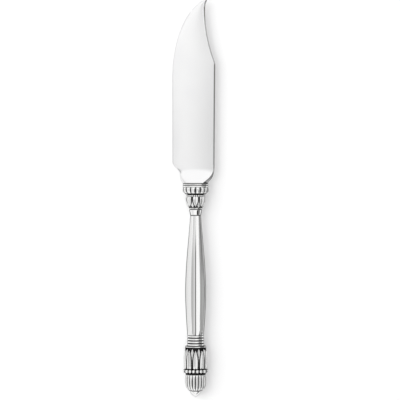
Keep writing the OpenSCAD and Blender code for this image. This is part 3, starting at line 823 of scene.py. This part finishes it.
# The finial is one silver casting: a spigot inside the shaft, a cup of ten upright pointed
# leaves, a groove for the beads, and a gadrooned bud. It is darkened like the collar.
finial_length = 23.1 * mm
finial_wide, finial_thick = 6.35 * mm, 4.1 * mm
leaf_shares = [(0, 0.84, 0.86), (0.03, 0.88, 0.89), (0.045, 0.86, 0.87), (0.055, 0.8, 0.81),
               (0.07, 0.8, 0.81), (0.1, 0.84, 0.84), (0.15, 0.87, 0.86), (0.2, 0.885, 0.87),
               (0.26, 0.89, 0.87), (0.32, 0.885, 0.87), (0.38, 0.875, 0.87), (0.43, 0.87, 0.87),
               (0.47, 0.87, 0.86), (0.49, 0.87, 0.85)]
bud_shares = [(0.635, 0.8, 0.84), (0.66, 0.84, 0.88), (0.7, 0.87, 0.91), (0.77, 0.88, 0.93),
              (0.84, 0.87, 0.94), (0.9, 0.84, 0.94), (0.94, 0.78, 0.92), (0.965, 0.71, 0.89),
              (0.985, 0.62, 0.84), (1, 0.51, 0.78)]
bead_place = 0.5625
bead_wide, bead_thick, bead_size = 1.079 * finial_wide, 1.05 * finial_thick, 1.95 * mm
bead_in, bead_along = 0.78 * bead_size, 0.53 * bead_size
finial_leaves, bud_gadroons = 10, 20
finial_relief, bud_depth = 0.7 * mm, 0.6 * mm
peg_length, peg_half, peg_gap = 4 * mm, 1.2 * mm, 0.05 * mm
spigot_length, spigot_bevel = 8 * mm, 0.8 * mm
spigot_wide, spigot_thick = sleeve_bore[0] - 0.05 * mm, sleeve_bore[1] - 0.05 * mm
finial_foot = sleeve_foot - finial_length
finial_start = shaft_foot + spigot_length

finial_rings = [(finial_start, spigot_wide - spigot_bevel, spigot_thick - spigot_bevel),
                (finial_start - spigot_bevel, spigot_wide, spigot_thick),
                (sleeve_foot, spigot_wide, spigot_thick)]


def add_finial_rings(shares, steps):
    """Adds the rings of one stretch of the finial, as its table of shares has them."""
    for i in range(steps + 1):
        v = mix(shares[0][0], shares[-1][0], i / steps)
        wide = finial_wide * smooth_at(shares, v)
        thick = finial_thick * smooth_at(shares, v, 2)
        finial_rings.append((sleeve_foot - v * finial_length, wide, thick))


add_finial_rings(leaf_shares, 120)
for side in (1, -1):
    groove_side = sleeve_foot - bead_place * finial_length + side * bead_along
    finial_rings.append((groove_side, bead_wide - bead_in, bead_thick - bead_in))
add_finial_rings(bud_shares, 44)
peg_hole = peg_half + peg_gap
finial_rings += [(finial_foot, peg_hole, peg_hole),
                 (finial_foot + peg_length + peg_gap, peg_hole, peg_hole)]


def finial_place(co):
    """How far down the finial a point lies, as a share, and its angle round the oval."""
    v = (sleeve_foot - finial_start - co.y) / finial_length
    shares = leaf_shares if v < bead_place else bud_shares
    up = co.z / smooth_at(shares, v, 2) / finial_thick
    return v, math.atan2(up, co.x / smooth_at(shares, v) / finial_wide)


def cup_of_leaves(co):
    """How high the finial's leaves stand at a place."""
    v, angle = finial_place(co)
    if v > 0.495 or v < 0.035:
        return 0.0
    return leaves_at(angle, (0.49 - v) / 0.455, finial_leaves)


def bud_cut(co):
    """How deep the grooves between the bud's gadroons are at a place."""
    v, angle = finial_place(co)
    if v < 0.63 or not on_outside(co, peg_hole + 0.25 * mm):
        return 0.0
    return hollow(angle, bud_gadroons) * math.sin(math.pi * within((v - 0.635) / 0.365)) ** 0.8


def finial_sunk(co):
    """Dark under the sleeve, round the leaves, in the beads' groove and between the gadroons."""
    v, angle = finial_place(co)
    if v < 0.025:
        return within(1.2 - v / 0.012)
    if v < 0.495:
        return within(1.15 - 2.3 * cup_of_leaves(co))
    if v < 0.63:
        return 1.0
    ends = math.sin(math.pi * within((v - 0.62) / 0.39)) ** 0.3
    lobe = hollow(angle, bud_gadroons) ** 1.5 * ends
    return max(lobe, within((0.66 - v) / 0.03), within((v - 0.98) / 0.02))


finial = ring_loft(380, finial_rings, [finial_start])
bpy.ops.object.mode_set(mode="EDIT")
pick_open_rims()
bpy.ops.mesh.edge_face_add()
bpy.ops.mesh.select_mode(type="VERT")
bpy.ops.object.mode_set(mode="OBJECT")
stain_sunk(finial, finial_sunk)
press(finial, finial_relief, cup_of_leaves)
press(finial, -bud_depth, bud_cut)
finish(finial, "finial_cast", 60)
fit_out(finial, cast_silver, "cast_silver", "finial")


# A second beaded wire, with larger beads, lies in the groove above the bud. It is made and
# soldered as the collar's is.
finial_beads = beaded_wire(sleeve_foot - bead_place * finial_length, bead_wide, bead_thick, bead_size)
finish(finial_beads, "finial_beads_cast", 60)
fit_out(finial_beads, cast_silver, "cast_silver", "finial_beads")


# The tip is a small turned button of silver. Its peg goes up into the end of the finial,
# where it is soldered, and a little tarnish is left round the button's top.
tip_length, tip_half, tip_edge_share = 3.4 * mm, 3 * mm, 0.08
tip_steps = 30
tip_rings = [(finial_foot + peg_length, peg_half, peg_half), (finial_foot, peg_half, peg_half)]
for i in range(tip_steps + 1):
    v = i / tip_steps
    dome = (1 - (max(0.0, v - tip_edge_share) / (1 - tip_edge_share)) ** 1.6) ** 0.8
    share = max(0.004, dome - 0.1 * (1 - within(v / tip_edge_share)) ** 2)
    tip_rings.append((finial_foot - v * tip_length, tip_half * share, tip_half * share))
tip = ring_loft(72, tip_rings, [tip_rings[0][0], tip_rings[-1][0]])
tarnished_edge = 0.35 * mm
stain_sunk(tip, lambda co: within(1 + (co.y + peg_length) / tarnished_edge))
finish(tip, "finial_tip_silver", 50)
fit_out(tip, silver, "silver", "finial_tip")


# The knife lies on a sheet of white paper under a studio sky: white walls with a few dark
# panels, which draw the lines in the metal, and one soft lamp from the left.
bpy.ops.object.select_all(action="DESELECT")
bpy.ops.mesh.primitive_plane_add(size=4, location=(0, 0, 0))
paper = bpy.context.object
paper.name = "paper"
white = bpy.data.materials.new("white_paper")
white.use_nodes = True
tree = white.node_tree
tree.nodes.remove(tree.nodes["Principled BSDF"])
sheet = tree.nodes.new("ShaderNodeBsdfDiffuse")
sheet.inputs["Color"].default_value = (0.92, 0.92, 0.92, 1)
glow = tree.nodes.new("ShaderNodeEmission")
glow.inputs["Strength"].default_value = 1
rays = tree.nodes.new("ShaderNodeLightPath")
seen = math_node(tree, "MAXIMUM", rays.outputs["Is Camera Ray"], rays.outputs["Is Glossy Ray"])
seen = math_node(tree, "MAXIMUM", seen, rays.outputs["Is Transmission Ray"])
both = tree.nodes.new("ShaderNodeMixShader")
tree.links.new(math_node(tree, "MULTIPLY", seen, 0.3), both.inputs["Fac"])
tree.links.new(sheet.outputs["BSDF"], both.inputs[1])
tree.links.new(glow.outputs["Emission"], both.inputs[2])
tree.links.new(both.outputs["Shader"], tree.nodes["Material Output"].inputs["Surface"])
paper.data.materials.append(white)

sky_stops = [(-180, 0.7), (-108, 0.6), (-96, 0.86), (-60, 0.84), (-45, 0.76), (-36, 0.9), (-28, 0.96),
             (-15, 1), (20, 1), (33, 0.96), (40, 0.58), (55, 0.49), (70, 0.4), (95, 0.31), (110, 0.4),
             (180, 0.6)]
studio = bpy.data.worlds.new("studio")
studio.use_nodes = True
bpy.context.scene.world = studio
tree = studio.node_tree
look = tree.nodes.new("ShaderNodeSeparateXYZ")
tree.links.new(tree.nodes.new("ShaderNodeTexCoord").outputs["Generated"], look.inputs["Vector"])
turn = math_node(tree, "ARCTAN2", look.outputs["X"], look.outputs["Z"])
round_sky = math_node(tree, "ADD", 0.5, math_node(tree, "DIVIDE", turn, 2 * math.pi))


def grey_ramp(stops):
    """A grey for each direction round the knife, in degrees from straight up to the right."""
    ramp = tree.nodes.new("ShaderNodeValToRGB")
    tree.links.new(round_sky, ramp.inputs["Fac"])
    marks = ramp.color_ramp.elements
    for degrees, light in stops[1:-1]:
        marks.new((degrees + 180) / 360).color = (light, light, light, 1)
    for end, stop in ((0, stops[0]), (-1, stops[-1])):
        marks[end].color = (stop[1], stop[1], stop[1], 1)
    return ramp.outputs["Color"]


def panel(stops, middle, reach, sharp):
    """What is left of the sky's light where a panel hangs that far along the knife."""
    level = math_node(tree, "DIVIDE", math_node(tree, "SUBTRACT", look.outputs["Y"], middle), reach)
    faded = math_node(tree, "POWER", math_node(tree, "ABSOLUTE", level), sharp)
    cover = math_node(tree, "MAXIMUM", 0, math_node(tree, "SUBTRACT", 1, faded))
    return math_node(tree, "SUBTRACT", 1, math_node(tree, "MULTIPLY", grey_ramp(stops), cover))


shaft_lines = [(33, 0), (38, 0.8), (48, 0.8), (54, 0)], -0.08, 0.18, 6
band_bar = [(19, 0), (22, 0.98), (47, 0.98), (51, 0)], -0.31, 0.09, 6
left_flutes = [(-38, 0), (-30, 0.3), (-20, 0.48), (-10, 0.58), (-5, 0.45), (-3.5, 0)], -0.06, 0.16, 6
blade_shade = [(-4, 0), (0, 0.05), (4, 0.27), (9, 0)], 0.07, 0.14, 2
heel_shade = [(-4, 0), (0, 0.09), (4, 0.18), (9, 0)], 0.025, 0.065, 2
back_line = [(51, 0), (58, 0.58), (69, 0.58), (78, 0)], 0.09, 0.1, 4
shoulder_line = [(44, 0), (52, 0.5), (70, 0.5), (78, 0)], -0.45, 0.35, 4
open_sky = grey_ramp(sky_stops)
for stops, middle, reach, sharp in (shaft_lines, band_bar, left_flutes, blade_shade, heel_shade, back_line,
                                    shoulder_line):
    stops = [(-180, 0), *stops, (180, 0)]
    open_sky = math_node(tree, "MULTIPLY", open_sky, panel(stops, middle, reach, sharp))
seen = tree.nodes.new("ShaderNodeLightPath").outputs["Is Camera Ray"]
tree.links.new(math_node(tree, "MAXIMUM", open_sky, seen), tree.nodes["Background"].inputs["Color"])

lamp_place, lamp_tilt = (-0.75, 0.15, 0.78), math.radians(-44)
bpy.ops.object.light_add(type="AREA", location=lamp_place)
lamp = bpy.context.object
lamp.name = "soft_lamp"
lamp.rotation_euler = (0, lamp_tilt, 0)
lamp.data.size = 1
lamp.data.energy = 8.4
lamp.visible_glossy = False
lamp.visible_camera = False

camera_aside, camera_along, camera_height = 3.28 * mm, -0.78 * mm, 0.7785
bpy.ops.object.camera_add(location=(camera_aside, camera_along, axis_z + camera_height), rotation=(0, 0, 0))
camera = bpy.context.object
camera.data.lens = 135
camera.data.sensor_width = 36
bpy.context.scene.camera = camera
bpy.context.scene.view_settings.view_transform = "Standard"
